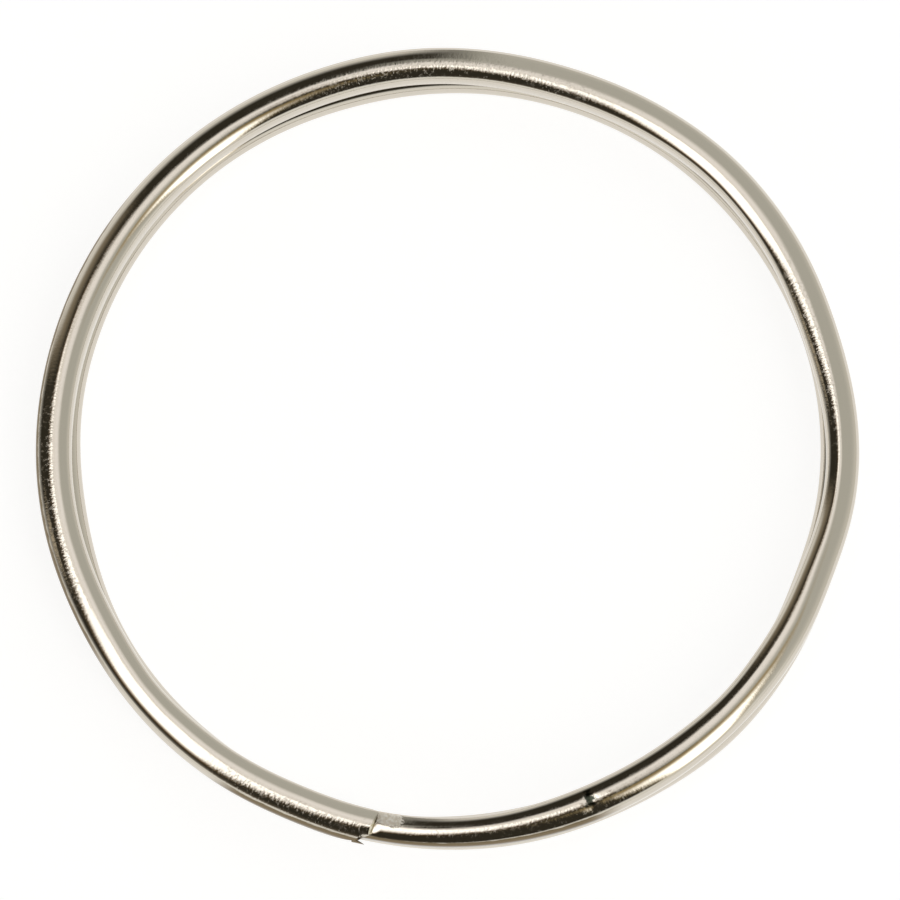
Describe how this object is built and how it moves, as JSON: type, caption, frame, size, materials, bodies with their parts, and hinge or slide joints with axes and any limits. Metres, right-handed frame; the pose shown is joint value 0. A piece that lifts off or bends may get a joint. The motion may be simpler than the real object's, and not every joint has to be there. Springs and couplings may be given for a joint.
{
  "type": "split key ring",
  "caption": "Flat-lying split key ring wound from one length of nickel-plated, round-cornered spring wire, with an offset step where the upper end is cut.",
  "frame": {"origin": "on the ring's axis, level with the underside that the ring lies on", "axes": "+Z along the ring's axis, from the lower turn to the upper one; the upper end is cut at about 258 degrees anticlockwise from +X"},
  "size_m": [0.05, 0.0499, 0.0034],
  "materials": {
    "nickel": "bright nickel plate on drawn spring-steel wire, with fine die marks across the wire"
  },
  "bodies": {
    "root": {"split_ring": "nickel"}
  },
  "joints": []
}
